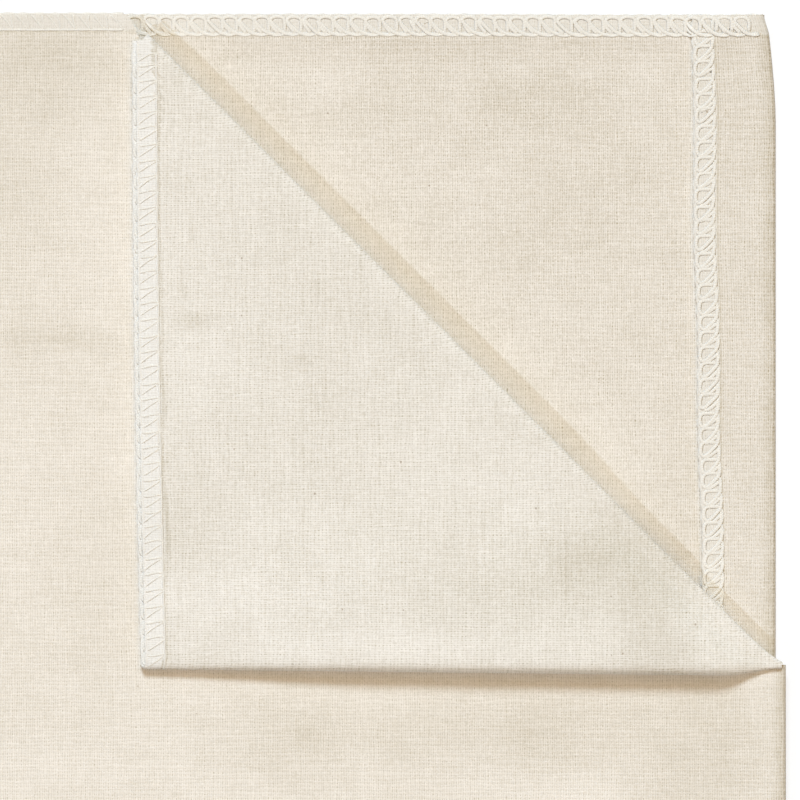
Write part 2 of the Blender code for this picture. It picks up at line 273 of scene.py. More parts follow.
# %% [markdown]
# ## The lie of the cloth
#
# Pressed cotton isn't a plane. It keeps soft waves a few centimetres long, and sharp lines where it
# was folded before it was sold, one every sixth of its length. Waves could be painted as light and
# dark, but then they would stay put as the light moves, so they are real height here. All plies
# share one set of waves, because they lie on each other, and the lowest moves least.

# %% Waves and old press lines
press_line_spacing = 75 * mm
press_line_width = 1.1 * mm
press_line_height, valley_share = 0.16 * mm, 0.7
wave_height = 0.22 * mm
calm_width = 14 * mm
upper_set_back = 1 * mm
drop_clear, drop_width = 2 * mm, 18 * mm
waves = ((61, 143, 0.4, 1.0), (97, -52, 2.1, 0.8), (-33, 41, 1.3, 0.45), (210, 74, 5.0, 1.2),
         (27, -64, 3.7, 0.35))


def calm(x, y):
    """0 at the two lines that the cloth turns about, where it lies flat, and 1 away from them."""
    to_crease = np.abs(crease_sum - x - y) * diagonal
    return smooth(np.minimum(to_crease, x - left_x) / calm_width)


def lie(x, y):
    """The height of the soft waves over the folded cloth. Each wave is its lengths along x and y in
    millimetres, where it starts and how much it counts."""
    total = 0
    for x_length, y_length, start, weight in waves:
        total = total + weight * np.sin(full_turn * (x / (x_length * mm) + y / (y_length * mm)) + start)
    return wave_height * total / sum(weight for *_, weight in waves) * calm(x, y)


def pressed_line(x, y, t):
    """The height of the old press lines across the cloth, t being the place along its length."""
    number = np.round(t / press_line_spacing)
    nearest = t - press_line_spacing * number
    ridge = np.exp(-((nearest / press_line_width) ** 2)) * np.where(number % 2 == 0, 1, -valley_share)
    inside = np.abs(t) < top_end - press_line_spacing / 2
    return press_line_height * np.where(inside, ridge, 0) * calm(x, y)


def tucked_drop(x):
    """How far the tucked panel comes down beside the lower panel's hem."""
    return (z_tucked - z_tucked_low) * smooth((lower_cut_x - drop_clear - x) / drop_width)


print("waves", round(wave_height / mm, 2), "mm high")
print("press lines every", round(press_line_spacing / mm), "mm")

# %% [markdown]
# ## What the stitches do to the cloth
#
# The needle thread draws the cloth in along its line, and the loopers round the edge squeeze it. So
# each bound edge has a shallow groove at the needle line. The grid has close rows there, or the
# groove would be lost between two of them. The lower panel's ends also lift off the table by the
# thickness of the thread under them. The middle panel's top row is sewn narrower than the others.

# %% Heights of the plies, with their grooves
groove_depth = 0.12 * mm
groove_width = 0.42 * mm
end_lift = 0.384 * mm
lower_wave_share, tucked_wave_share = 0.3, 0.5
fine_step = 0.35 * mm
bound_width = stitch_width + 1.4 * mm
narrow_row, narrow_start = 1.2, 18 * mm
turned_gap = z_turned_lower - z_middle - thickness


def groove(distance):
    """How deep the needle thread draws the cloth in, at a distance from the bound edge."""
    return groove_depth * np.exp(-(((distance - needle_place) / groove_width) ** 2))


def end_distance(y):
    """How far it is to the nearer end of the cloth."""
    return top_end - np.abs(y)


def middle_distance(x, y):
    """The same on the middle panel, counted faster at its top end, because that row is narrower."""
    faster = (narrow_row - 1) * smooth((x - left_x) / narrow_start) * (y > 0)
    return end_distance(y) * (1 + faster)


def lift(y):
    """How far the lower panel's ends stand off the table."""
    return end_lift * smooth((2 * stitch_width - end_distance(y)) / stitch_width)


def lower_height(x, y):
    wave = lower_wave_share * (wave_height + lie(x, y)) * calm(x, y)
    return z_lower + wave + lift(y) - groove(end_distance(y))


def hem_height(x, y):
    return lower_height(x, y) + hem_step(x, y) - groove(x - hem_cut(y))


def tucked_height(x, y):
    return z_tucked - tucked_drop(x) + tucked_wave_share * lie(x, y)


def tucked_hem_height(x, y):
    return z_tucked_hem + tucked_wave_share * lie(x, y)


def middle_height(x, y):
    return z_middle + lie(x, y) + pressed_line(x, y, y) - groove(middle_distance(x, y))


def turned_lower_height(x, y, t):
    """The turned corner's lower ply. It has no press lines, so it makes no use of t."""
    drop = turned_gap - under_gap + tip_thin * half
    return z_turned_lower + lie(x, y) - drop * closed(x, y)


def turned_upper_height(x, y, t):
    wave = lie(x, y) + pressed_line(x, y, t) - groove(x - corner_edge(y) - upper_set_back)
    drop = 2 * turned_gap - under_gap - tip_gap + 3 * tip_thin * half
    return z_turned_upper + wave + puff(x, y) - drop * closed(x, y)


print("groove", groove_depth / mm, "mm deep at", needle_place / mm, "mm from the edge")

# %% [markdown]
# ## A sheet from a grid
#
# Each stretch of cloth is a grid of points on its middle line, with as many rows and columns as its
# folds need. Two layers are set half a thickness to each side of it and joined round the rim, so
# the cloth is a closed sheet of its real thickness. The Solidify modifier does much the same, but
# here every point also carries its place on the cloth before it was folded. The weave reads that
# place, so its threads run round each fold and turn through a right angle on the turned corner.

# %% Make a sheet
cloth_step, strip_step, corner_step = 3 * mm, 2 * mm, 2.6 * mm
close_step, run_step, bend_step = 1 * mm, 0.7 * mm, 0.5 * mm
bound_clear, bound_fade = 0.5 * mm, 0.6 * mm
sharp_angle = 60
slack, tiny = 1e-6, 1e-12


def stops(*line):
    """Places along a line. It is given as where it starts, how far apart the places are from there,
    where the next stretch starts, how far apart they are in that one, and so on to its end."""
    places = []
    for start, step, end in zip(line[:-2:2], line[1::2], line[2::2]):
        count = max(1, math.ceil(abs(end - start) / step - slack))
        places += [mix(start, end, index / count) for index in range(count)]
    return np.array(places + [line[-1]])


def unit(vectors):
    return vectors / np.maximum(np.linalg.norm(vectors, axis=-1, keepdims=True), tiny)


def facing(points):
    """The way that each point of a grid faces."""
    return unit(np.cross(np.gradient(points, axis=1), np.gradient(points, axis=0)))


def shell_faces(rows, columns):
    """The faces of two layers of a grid, and of the rim that joins them."""
    corner = np.arange(rows * columns).reshape(rows, columns)
    quads = stacked(corner[:-1, :-1], corner[:-1, 1:], corner[1:, 1:], corner[1:, :-1])
    top = quads.reshape(-1, 4)
    under = top[:, ::-1] + rows * columns
    rim = chained(corner[0, :-1], corner[:-1, -1], corner[-1, :0:-1], corner[:0:-1, 0])
    following = np.roll(rim, -1)
    sides = stacked(following, rim, rim + rows * columns, following + rows * columns)
    return chained(top, under, sides)


def new_piece(name, points, faces, values):
    """A smooth mesh object with a vector for each point in each named value."""
    mesh = bpy.data.meshes.new(name)
    mesh.from_pydata(points.tolist(), [], faces)
    mesh.shade_smooth()
    for value_name, vectors in values.items():
        attribute = mesh.attributes.new(value_name, "FLOAT_VECTOR", "POINT")
        attribute.data.foreach_set("vector", np.asarray(vectors, np.float32).ravel())
    piece = bpy.data.objects.new(name, mesh)
    bpy.context.scene.collection.objects.link(piece)
    return piece


def bound(distance):
    """1 under the overlock stitches and 0 on the open cloth, at a distance from the bound edge."""
    return smooth((stitch_width + bound_clear - distance) / bound_fade)


def sheet(name, points, flat, edge_distance, thickness_share=1):
    """A sheet of cloth round a grid of points. Each point keeps its place on the flat cloth, and
    whether it lies under the stitches."""
    rows, columns = points.shape[:2]
    offset = facing(points) * np.broadcast_to(half * thickness_share, (rows, columns))[..., None]
    layers = chained((points + offset).reshape(-1, 3), (points - offset).reshape(-1, 3))
    kept = np.concatenate([flat / mm, bound(edge_distance)[..., None]], axis=-1).reshape(-1, 3)
    values = {"cloth_place": chained(kept, kept)}
    piece = new_piece(name, layers, shell_faces(rows, columns).tolist(), values)
    piece.data.set_sharp_from_angle(angle=math.radians(sharp_angle))
    return piece


print("cloth grid step", cloth_step / mm, "mm")

# %% [markdown]
# ## Going round a fold
#
# Across the folded cloth the middle line is a chain of flat runs and half circles. Walking along it
# gives x, the height, and the distance gone, which is the place on the flat cloth. Along the cloth
# the rows of points are closer together beside both bound ends.

# %% Walk across the cloth
arc_shares = np.linspace(0, 1, 13)


def half_circle(x, low_z, high_z, outward, upward=True):
    """x and height along a half circle that joins two plies, from the lower one up or back down."""
    turn = math.pi * (arc_shares if upward else arc_shares[::-1])
    radius = (high_z - low_z) / 2
    return x + outward * radius * np.sin(turn), (low_z + high_z) / 2 - radius * np.cos(turn)


def gone(x, z):
    """Distance gone across the cloth along its middle line."""
    return chained([0], np.cumsum(np.hypot(np.diff(x), np.diff(z))))


hem_arc = math.pi * hem_round
fold_arc = math.pi * fold_round
first_y, last_y = bottom_end + cut_inset, top_end - cut_inset
length_stops = stops(first_y, fine_step, first_y + bound_width, cloth_step, last_y - bound_width,
                     fine_step, last_y)
print("hem fold takes", round(hem_arc / mm, 2), "mm of cloth, left fold", round(fold_arc / mm, 2), "mm")

# %% [markdown]
# ## The lower panel and its hem
#
# The lower panel lies on the table. At the right its side edge is turned over onto it, which makes
# the flat hem. The panel, the fold and the strip are one grid, so the cloth runs through.

# %% Build the lower cloth
fold_run = 4.2 * mm


def lower_cloth():
    """The lower panel, its hem fold and its hem strip."""
    cut_x = lower_cut_x
    strip = stops(cut_x + cut_inset, fine_step, cut_x + bound_width, strip_step, lower_hem_x)
    arc_x, arc_z = half_circle(lower_hem_x, z_lower, z_hem, 1, upward=False)
    panel = stops(lower_hem_x, cloth_step, left_x + fold_run)
    x = chained(strip[:-1], arc_x, panel[1:])
    base = chained(np.full(len(strip) - 1, z_hem), arc_z, np.full(len(panel) - 1, z_lower))
    ply = chained(np.ones(len(strip) - 1), 1 - arc_shares, np.zeros(len(panel) - 1))
    x_grid, y_grid = np.meshgrid(x, length_stops)
    leaning = smooth((x_grid - cut_x) / (lower_hem_x - cut_x))
    wander = (hem_cut(y_grid) - cut_x) * (1 - leaning) * ply
    x_grid = x_grid - side_inset(y_grid) * leaning + wander
    y_grid = y_grid - (top_end - lower_end(x_grid)) * smooth(y_grid / top_end)
    on_strip = groove(x_grid - hem_cut(y_grid)) + ply_step - hem_step(x_grid, y_grid)
    z_grid = base - z_lower + lower_height(x_grid, y_grid) - on_strip * ply
    points = stacked(x_grid, y_grid, z_grid)
    s = np.broadcast_to(gone(x, base), x_grid.shape)
    edge_distance = np.minimum(end_distance(y_grid), np.abs(s))
    piece = sheet("lower_cloth", points, stacked(s, y_grid), edge_distance)
    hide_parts("lower_panel", "side_hem", "side_hem_fold")
    return piece, s[0, -1]


lower, lower_width = lower_cloth()
print("lower cloth", round(lower_width / mm, 1), "mm wide,", len(lower.data.polygons), "faces")

# %% [markdown]
# ## The middle and the tucked panel
#
# From the left fold the cloth runs over to the right fold, under to the tucked panel, and ends in
# that panel's own hem. Its columns stop at the crease of the turned corner, where one shorter
# piece takes over, so that the corner can open.

# %% Build the upper cloth
upper_start = lower_width + 2 * fold_run + fold_arc
crease_run = 6 * mm
crease_spare, crease_spare_run = 2.6 * mm, 3 * mm
crease_start_x = crease_sum + crease_spare - top_end
roll_start_x = corner_edge_x + cut_inset + tip_width


def crease_ease(x):
    """How far below the crease the panels stop. It shrinks to nothing at both ends of its roll."""
    return np.clip(np.minimum(x - roll_start_x, tip_x - x), 0, crease_run)


def panel_end(x):
    """y of the upper end of the middle and the tucked panel."""
    x = np.minimum(x, right_x)
    spare = crease_spare * smooth((roll_start_x - x) / crease_spare_run)
    return np.minimum(top_end - cut_inset, crease_y(x) - crease_ease(x) + spare)


def cover_cloth():
    """The middle panel, the right fold, the tucked panel and its hem."""
    def panel_stops(start, end):
        first, last = roll_start_x + crease_run, right_x - crease_run
        return stops(start, cloth_step, crease_start_x, bend_step, roll_start_x, close_step, first,
                     cloth_step, last, close_step, end)

    middle = panel_stops(left_x + fold_run, right_x)
    tucked = panel_stops(tucked_hem_x, right_x)[::-1]
    right_arc_x, right_arc_z = half_circle(right_x, z_tucked, z_middle, 1, upward=False)
    hem_arc_x, hem_arc_z = half_circle(tucked_hem_x, z_hem, z_tucked_hem, -1)
    cut_x = tucked_cut_x
    strip = stops(tucked_hem_x, strip_step, cut_x - bound_width, fine_step, cut_x - cut_inset)
    x = chained(middle, right_arc_x[1:-1], tucked, hem_arc_x[1:], strip[1:])
    tucked_z = z_tucked - tucked_drop(tucked)
    base = chained(np.full(len(middle), z_middle), right_arc_z[1:-1], tucked_z, hem_arc_z[1:],
                   np.full(len(strip) - 1, z_tucked_hem))
    on_middle = np.zeros(len(x))
    on_middle[:len(middle)] = 1
    on_middle[len(middle):len(middle) + len(arc_shares) - 2] = 1 - arc_shares[1:-1]
    row_share = (length_stops - first_y) / (last_y - first_y)
    x_grid = np.broadcast_to(x, (len(length_stops), len(x)))
    y_grid = mix(first_y, panel_end(x_grid), row_share[:, None])
    wave = lie(x_grid, y_grid) * (1 + on_middle) / 2
    from_end = middle_distance(x_grid, y_grid)
    on_top = (pressed_line(x_grid, y_grid, y_grid) - groove(from_end)) * on_middle
    z_grid = base + wave + on_top
    s = np.broadcast_to(upper_start + gone(x, base), x_grid.shape)
    points = stacked(x_grid, y_grid, z_grid)
    from_end = mix(end_distance(y_grid), from_end, on_middle)
    edge_distance = np.minimum(from_end, s[0, -1] - s)
    flat = stacked(s, y_grid)
    piece = sheet("cover_cloth", points[:, ::-1], flat[:, ::-1], edge_distance[:, ::-1])
    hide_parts("middle_panel", "right_fold", "tucked_panel", "tucked_hem", "tucked_hem_fold")
    return piece, s[0, -1] - s[0, 0]


cover, cover_width = cover_cloth()
print("cover cloth", round(cover_width / mm, 1), "mm wide,", len(cover.data.polygons), "faces")

# %% [markdown]
# ## The turned corner
#
# On the turned corner the middle panel's cloth lies below and the tucked panel's above, joined by
# what was the right fold. Turning cloth over a crease swaps its two directions, so a point's place
# on the flat cloth is its mirror image in the crease.

# %% Build the turned corner
inner_round = (z_turned_lower - z_middle) / 2
outer_round = (z_turned_upper - z_tucked) / 2
hidden_share = 0.35
corner_lines = 56
middle_s = upper_start - left_x - fold_run
tucked_s = upper_start + 2 * right_x - left_x - fold_run + math.pi * right_round


def turned_flat(x, y, round_size, on_middle):
    """The place on the flat cloth of a point of the turned corner."""
    shift = crease_sum + math.pi * round_size * diagonal
    first = shift - y
    return (middle_s + first if on_middle else tucked_s - first), shift - x


def corner_end(x):
    """How far left of the crease the turned plies stop."""
    return np.clip(np.minimum((x - corner_edge_x) / 2, tip_x - x), 0, crease_run)


def fold_reach(x):
    """How far the turned corner's soft fold stands out, less towards its tip."""
    return corner_fold_reach * (1 - tip_flatness * to_tip(x))


def corner_grid(inset):
    """x and y over one turned ply, from its overlocked edge to the crease and from the fold up."""
    across = stops(0, fine_step, bound_width, corner_step, corner_leg) / corner_leg
    up = np.linspace(0, 1, corner_lines)
    top_foot = corner_edge_x + inset + tip_width
    foot = mix(tip_x, top_foot, up)
    y_left = mix(corner_fold_line(corner_fold_x + inset), crease_y(top_foot), up)
    y_right = crease_y(foot)
    x_left = corner_edge(y_left) + inset
    x_right = foot - corner_end(foot)
    x_grid = mix(x_left[:, None], x_right[:, None], across[None, :])
    y_grid = mix(y_left[:, None], y_right[:, None], across[None, :])
    return x_grid, y_grid


def corner_cloth():
    """Both turned plies and the soft fold between them."""
    x_low, y_low = corner_grid(cut_inset)
    x_up, y_up = corner_grid(cut_inset + upper_set_back)
    t_low = turned_flat(x_low, y_low, inner_round, True)
    t_up = turned_flat(x_up, y_up, outer_round, False)
    lower_ply = stacked(x_low, y_low, turned_lower_height(x_low, y_low, t_low[1]))
    upper_ply = stacked(x_up, y_up, turned_upper_height(x_up, y_up, t_up[1]))
    first, last = lower_ply[0], upper_ply[0]
    out, across = boxed((math.pi * arc_shares[1:-1])[:, None], fold_square)
    bend = mix(first[None], last[None], ((1 - across) / 2)[..., None])
    bend[..., 1] -= fold_reach(first[:, 0]) * out
    points = chained(lower_ply[::-1], bend, upper_ply)
    flat_low, flat_up = stacked(*t_low), stacked(*t_up)
    chain = chained(first[None], bend, last[None])
    steps = np.linalg.norm(np.diff(chain, axis=0), axis=2)
    still_to_go = np.cumsum(steps[::-1], axis=0)[::-1][1:, :, None] * (1, 0)
    hidden = smooth(arc_shares[1:-1] / hidden_share)[:, None, None]
    flat_bend = mix(flat_low[0][None], flat_up[0][None] - still_to_go, hidden)
    flat = chained(flat_low[::-1], flat_bend, flat_up)
    from_edge = chained(x_low[::-1] - corner_edge(y_low[::-1]),
                        0 * bend[..., 0] + x_up[0] - corner_edge(y_up[0]),
                        x_up - corner_edge(y_up) - upper_set_back)
    thick = thinned(points[::-1, :, 0], points[::-1, :, 1])
    piece = sheet("corner_cloth", points[::-1], flat[::-1], from_edge[::-1], thick)
    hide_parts("corner_lower_ply", "corner_upper_ply", "corner_fold")
    return piece


corner = corner_cloth()
print("turned corner", len(corner.data.polygons), "faces")

# %% [markdown]
# ## Strips at the folds
#
# Three narrow strips join the bodies: the left fold and the two plies' rolls along the crease. Each
# takes a short flat run on both sides of its roll, so that its ends lie flush with the panels. Along
# the crease both runs point the same way, because the cloth there is turned over onto itself.

# %% Build the folds
run_lines = 7
least_run = 0.01 * mm


def left_fold_cloth():
    """The left fold, with a short run of the lower and of the middle panel."""
    run = stops(left_x + fold_run, run_step, left_x)
    arc_x, arc_z = half_circle(left_x, z_lower, z_middle, -1)
    x = chained(run, arc_x[1:-1], run[::-1])
    base = chained(np.full(len(run), z_lower), arc_z[1:-1], np.full(len(run), z_middle))
    up = (base - z_lower) / (z_middle - z_lower)
    x_grid, y_low = np.meshgrid(x, length_stops)
    y_grid = y_low - (top_end - lower_end(x_grid)) * (1 - up) * smooth(y_low / top_end)
    low_z = lower_height(x_grid, y_grid) - z_lower
    high_z = middle_height(x_grid, y_grid) - z_middle
    z_grid = base + mix(low_z, high_z, up)
    s = np.broadcast_to(lower_width + gone(x, base), x_grid.shape)
    points = stacked(x_grid, y_grid, z_grid)
    piece = sheet("left_fold_cloth", points, stacked(s, y_grid), end_distance(y_grid))
    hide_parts("left_fold")
    return piece, s[0, -1] - s[0, 0]


def crease_cloth(name, node, lower_ply, upper_ply, round_size, on_middle):
    """One ply's roll along the crease, with short runs on both sides."""
    first_x = roll_start_x + crease_run
    foot = stops(roll_start_x, close_step, first_x, cloth_step, tip_start, close_step, tip_x)
    run = np.linspace(0, 1, run_lines)
    turn = math.pi * arc_shares
    ease = crease_ease(foot) + least_run
    back = np.minimum(corner_end(foot), (foot - corner_edge_x) / 2) + least_run
    foot_y = crease_y(foot)
    low_x = np.broadcast_to(foot, (len(run) - 1, len(foot)))
    low_y = foot_y - ease * (1 - run[:-1, None])
    low_z = lower_ply(low_x, low_y)
    high_y = np.broadcast_to(foot_y, (len(run) - 1, len(foot)))
    high_x = foot - back * run[1:, None]
    flat_high = turned_flat(high_x, high_y, round_size, on_middle)
    high_z = upper_ply(high_x, high_y, flat_high[1])
    z_from = lower_ply(foot, foot_y)
    above = turned_flat(foot, foot_y, round_size, on_middle)
    z_to = upper_ply(foot, foot_y, above[1])
    sine, cosine = boxed(turn[:, None], crease_square)
    out = round_size * sine * diagonal * (1 - tip_flatness * to_tip(foot))
    arc_z = (z_from + z_to) / 2 - (z_to - z_from) / 2 * cosine
    x = chained(low_x, foot + out, high_x)
    y = chained(low_y, foot_y + out, high_y)
    z = chained(low_z, arc_z, high_z)
    below = middle_s + foot if on_middle else tucked_s - foot
    share = length_shares(turn, crease_square)[:, None]
    s = chained(np.broadcast_to(below, low_x.shape), mix(below, above[0], share), flat_high[0])
    t = chained(low_y, mix(foot_y, above[1], share), flat_high[1])
    points, flat = stacked(x, y, z), stacked(s, t)
    piece = sheet(name, points, flat, end_distance(t), thinned(x, y))
    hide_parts(node)
    return piece, (foot[-1] - foot[0]) / diagonal


left_fold, left_fold_width = left_fold_cloth()
crease_inner, crease_length = crease_cloth("crease_inner_cloth", "crease_inner", middle_height,
                                           turned_lower_height, inner_round, True)
crease_outer, crease_length = crease_cloth("crease_outer_cloth", "crease_outer", tucked_height,
                                           turned_upper_height, outer_round, False)
print("strips:", left_fold.name, crease_inner.name, crease_outer.name)

# %% [markdown]
# ## Sewing thread
#
# A thread is a tube swept along its path. A curve object with a bevel does the same, but there are
# hundreds of stitches in a row, and one mesh for each row is lighter. The tube's ring of points is
# carried along without twisting. Each point keeps how far along and how far round it is, so that
# the material can lay the thread's own twist on it.

# %% Sweep a thread
thread_sides = 6
looper_size = (0.47 * mm, 0.12 * mm)
strand_size = (0.24 * mm, 0.1 * mm)
needle_size = (0.28 * mm, 0.16 * mm)
thread_lift = 0.02 * mm
cord_cover, cord_reach = 0.02 * mm, 0.6 * mm
catmull = np.array([[0, 2, 0, 0], [-1, 0, 1, 0], [2, -5, 4, -1], [-1, 3, -3, 1]]) / 2


def curved(points, between):
    """A smooth line through points, with as many new ones between each two."""
    ends = chained(2 * points[:1] - points[1:2], points, 2 * points[-1:] - points[-2:-1])
    share = np.arange(between + 1) / (between + 1)
    powers = stacked(share ** 0, share, share ** 2, share ** 3) @ catmull
    around = np.stack([ends[:-3], ends[1:-2], ends[2:-1], ends[3:]], axis=1)
    line = np.einsum("ij,njk->nik", powers, around).reshape(-1, points.shape[1])
    return chained(line, points[-1:])


def walked(points):
    """Distance gone along a line of points."""
    steps = np.linalg.norm(np.diff(points, axis=0), axis=1)
    return chained([0], np.cumsum(steps))


def tube(path, outward, half_width, half_height):
    """The points, faces and thread places of a thread along a path, pressed flat on what it lies on.
    Its height is measured outwards, and its width across that."""
    count = len(path)
    forward = unit(np.gradient(path, axis=0))
    side = unit(np.cross(forward, outward))
    rise = np.cross(side, forward)
    turn = full_turn * np.arange(thread_sides) / thread_sides
    ring = side[:, None] * (half_width * np.cos(turn))[..., None]
    ring = ring + rise[:, None] * (half_height * np.sin(turn))[..., None]
    points = (path[:, None] + ring).reshape(-1, 3)
    place = np.zeros((count, thread_sides, 3))
    place[..., 0] = walked(path)[:, None] / mm
    place[..., 1] = np.cos(turn)
    place[..., 2] = np.sin(turn)
    corner = np.arange(count * thread_sides).reshape(count, thread_sides)
    following = np.roll(corner, -1, axis=1)
    quads = stacked(corner[:-1], following[:-1], following[1:], corner[1:])
    faces = quads.reshape(-1, 4).tolist() + [corner[0, ::-1].tolist(), corner[-1].tolist()]
    return points, faces, place.reshape(-1, 3)


def threads(name, paths):
    """One piece of several threads."""
    all_points, all_faces, all_places, start = [], [], [], 0
    for path in paths:
        points, faces, place = tube(*path)
        all_points.append(points)
        all_faces += [[corner + start for corner in face] for face in faces]
        all_places.append(place)
        start += len(points)
    places = {"thread_place": np.concatenate(all_places)}
    return new_piece(name, np.concatenate(all_points), all_faces, places)


print("thread", round(2 * looper_size[0] / mm, 2), "mm wide where it is pressed flat")

# %% [markdown]
# ## The overlock stitch
#
# Three threads bind each cut edge. The needle thread makes a straight row on one side, and small
# scallops where its loops come through on the other. The two looper threads lie as leaf shaped
# loops on that other side, wrap round the cut edge, and lie as one straight and one slanted strand
# on the needle's side. Real threads wrap the edge more closely than that, so a strand that fills
# each leaf and a smooth cord on the cut edge stand for the rest of them.
#
# Each is drawn once here for one stitch: how far along in stitches, how far in from the cut edge (0)
# to the needle line (1), and how high from the needle's side (-1) to the loopers' side (1). The
# whole row repeats that, with small differences as a machine's stitches have.

# %% Shapes of one stitch
stitch_length = 3.6 * mm
leaf_loop = ((0, 1, 0.5), (0.02, 0.8, 1.1), (0.03, 0.55, 1.1), (0.02, 0.3, 1.04), (-0.06, 0.14, 1),
             (-0.25, 0.06, 0.95), (-0.5, 0.03, 0.9), (-0.72, 0.08, 0.95), (-0.85, 0.2, 1),
             (-0.8, 0.36, 1.05), (-0.55, 0.6, 1.13), (-0.25, 0.84, 1.18), (0.02, 0.98, 1.15),
             (0.35, 1.0, 1.1), (0.7, 1.0, 1.05))
leaf_fill = ((-0.95, 0.22, 0.9), (-0.86, 0.46, 1.04), (-0.68, 0.7, 1.1), (-0.42, 0.93, 1.1),
             (-0.3, 0.9, 0.2), (-0.12, 0.4, 0.1))
edge_strands = ((0.05, 1, -0.9), (0.24, 0.76, -1.13), (0.48, 0.42, -1.06), (0.72, 0.12, -1),
                (0.84, -0.02, -0.6), (0.98, -0.05, 0), (1.1, -0.02, -0.6), (1.14, 0.1, -1),
                (1.08, 0.42, -1.06), (1.01, 0.78, -1.13))
edge_cord = ((0, 0.02, 0.06), (0.35, -0.02, -0.05), (0.7, 0.03, 0))
needle_row = ((0, 1, -0.95), (0.2, 1, -1.15), (0.5, 1, -1.22), (0.8, 1, -1.15))
needle_scallops = ((0, 0.97, 0.8), (0.22, 1.04, 1.12), (0.5, 1.08, 1.2), (0.78, 1.04, 1.12))
points_between, line_parts = 1, 8
least_along, least_inward = 0.35, 0.4
chance = np.random.default_rng(4)


def row_of(shape, count, along_change=0.05, inward_change=0.03):
    """One thread's shape repeated for each stitch of a row, no two quite the same. A stitch moves
    most between the cut edge and the needle line, and least where it is held at both."""
    shape = np.array(shape)
    rows = np.repeat(shape[None], count, axis=0)
    rows[..., 0] += np.arange(count)[:, None]
    change = chance.normal(0, 1, (count, 2))
    free = 1 - np.abs(2 * shape[:, 1] - 1) ** 3
    rows[..., 0] += along_change * change[:, :1] * (least_along + free)
    rows[..., 1] += inward_change * change[:, 1:] * mix(least_inward, 1, free)
    return curved(rows.reshape(-1, 3), points_between)


def at(asked, line, places=None):
    """Points or values of a line at the places asked for. Its own lie at 0, 1, 2 and on, or at places."""
    places = np.arange(len(line)) if places is None else places
    return stacked(*[np.interp(asked, places, line[:, axis]) for axis in range(line.shape[1])])


def overlock(name, edge, line, loopers_face, gap, nodes):
    """A row of overlock stitches. edge and line are the cut edge and the needle line, loopers_face
    points to the loopers' side, and gap is half the thickness of what is sewn."""
    along = walked((edge + line) / 2)
    count = max(1, round(along[-1] / stitch_length))
    fine = np.linspace(0, along[-1], line_parts * count + 1)
    guides = [at(fine, values, along)
              for values in (edge, line, np.broadcast_to(loopers_face, line.shape))]
    gaps = np.interp(fine, along, np.broadcast_to(gap, len(line)))[:, None]

    def path(shape, size, **changes):
        places = row_of(shape, count, **changes)
        spot = np.clip(places[:, 0], 0, count) * line_parts
        on_edge, on_line, out = (at(spot, values) for values in guides)
        out = unit(out)
        height = places[:, 2:] * (at(spot, gaps) + thread_lift)
        inward, high = places[:, 1:2], places[:, 2:]
        off_edge = unit(on_edge - on_line) * np.clip(1 - inward, 0, 1) * np.clip(1 - np.abs(high), 0, 1)
        width, thick = size or (at(spot, gaps) + cord_cover, cord_reach)
        return mix(on_edge, on_line, inward) + out * height, unit(out * high + off_edge), width, thick

    loopers = threads(name + "_loopers", [
        path(leaf_loop, looper_size), path(leaf_fill, looper_size), path(edge_strands, strand_size),
        path(edge_cord, None, inward_change=0.015)])
    needle = threads(name + "_needle", [
        path(needle_row, needle_size, along_change=0.02, inward_change=0.015),
        path(needle_scallops, needle_size, inward_change=0.04)])
    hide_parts(*[node + "_overlock" for node in nodes])
    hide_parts(*[node + "_needle_thread" for node in nodes])
    print(name, count, "stitches of", round(along[-1] / count / mm, 2), "mm")
    return [loopers, needle]


print("stitch", stitch_length / mm, "mm long and", needle_place / mm, "mm wide")

# %% [markdown]
# ## Sew the lower panel
#
# The loopers' side is up on the lower panel and on its hem strip. The top and bottom rows are sewn
# after the hem is turned, so near the right they hold two layers, and the hem's own row runs on a
# little under the top one. Each row runs the same way round the cloth, so its leaf loops all lean
# the same way.

# %% Lower rows
up = np.array([0.0, 0.0, 1.0])
sewn_at = (edge_line, needle_place)
row_step = 1.5 * mm
row_end = 0.3 * mm
row_back = 1.6 * mm
strip_rise = 0.35 * mm
under_row = 0.5 * mm


def end_row(x, y_edge, inward, height, shift=0):
    """Cut edge and needle line of a row across an end of the cloth."""
    lines = []
    for away in sewn_at:
        y = 0 * x + y_edge + inward * away
        lines.append(stacked(x, y, height(x, y) + shift))
    return lines


def double(x, y):
    """1 where the hem lies on the lower panel, 0 where it is one layer."""
    return smooth((x - hem_cut(y)) / strip_rise + 1)


def lower_rows():
    x = stops(left_x + fold_run, row_step / 3, lower_hem_x - row_back)
    at_top = double(x, top_end) * hem_step(x, top_end) / 2
    at_bottom = (double(x, bottom_end) * hem_step(x, bottom_end))[::-1] / 2
    top = end_row(x, lower_end(x), -1, lower_height, at_top)
    bottom = end_row(x[::-1], np.full(len(x), bottom_end), 1, lower_height, at_bottom)
    y = stops(bottom_end + stitch_width + row_end, row_step, top_end - under_row)
    hem = [stacked(hem_cut(y) + away, y, hem_height(hem_cut(y) + away, y)) for away in sewn_at]
    return (overlock("lower_top", *top, up, half + at_top, ["lower_top"]),
            overlock("lower_bottom", *bottom, up, half + at_bottom, ["lower_bottom"]),
            overlock("side_hem", *hem, up, half, ["side_hem"]))


lower_top, lower_bottom, side_hem = lower_rows()

# %% [markdown]
# ## Sew the upper cloth
#
# The bottom row follows the cloth round the right fold. Its path is the middle line of the cloth,
# and the loopers' side faces into the fold.

